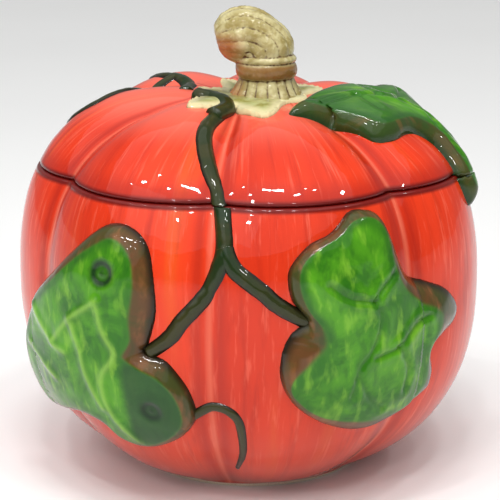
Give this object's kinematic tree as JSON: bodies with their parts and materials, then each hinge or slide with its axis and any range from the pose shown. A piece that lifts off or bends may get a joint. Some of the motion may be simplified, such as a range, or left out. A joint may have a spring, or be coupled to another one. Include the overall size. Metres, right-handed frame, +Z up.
{
  "type": "lidded pumpkin jar",
  "caption": "Ribbed ceramic pumpkin jar with a lift-off lid, relief leaves and vines, and a curled stem as its knob.",
  "frame": {"origin": "centre of the foot ring's underside, on the surface the jar stands on", "axes": "+Z up through the mouth, -Y towards the front leaves, +X to the right as seen from the front"},
  "size_m": [0.2212, 0.2347, 0.2232],
  "materials": {
    "orange_glaze": "clear gloss glaze over brushed orange-red underglaze",
    "leaf_glaze": "clear gloss glaze over brushed greens, brown at the edges",
    "calyx_glaze": "gloss cream and pale green",
    "vine_glaze": "gloss olive green",
    "stem_glaze": "gloss khaki with brown in the recesses"
  },
  "bodies": {
    "jar": {"jar_body": "orange_glaze", "leaf_front_left": "leaf_glaze", "leaf_front_right": "leaf_glaze", "leaf_back": "leaf_glaze", "leaf_shoulder_tip": "leaf_glaze", "vine_front": "vine_glaze", "vine_back": "vine_glaze", "tendril": "vine_glaze"},
    "lid": {"lid_shell": "orange_glaze", "leaf_shoulder": "leaf_glaze", "calyx": "calyx_glaze", "vine_lid_front": "vine_glaze", "vine_lid_back": "vine_glaze", "stem_knob": "stem_glaze"}
  },
  "joints": [
    {"name": "lid_lift", "type": "slide", "parent": "jar", "child": "lid", "axis": [0, 0, 1], "range_m": [0, 0.12]}
  ]
}
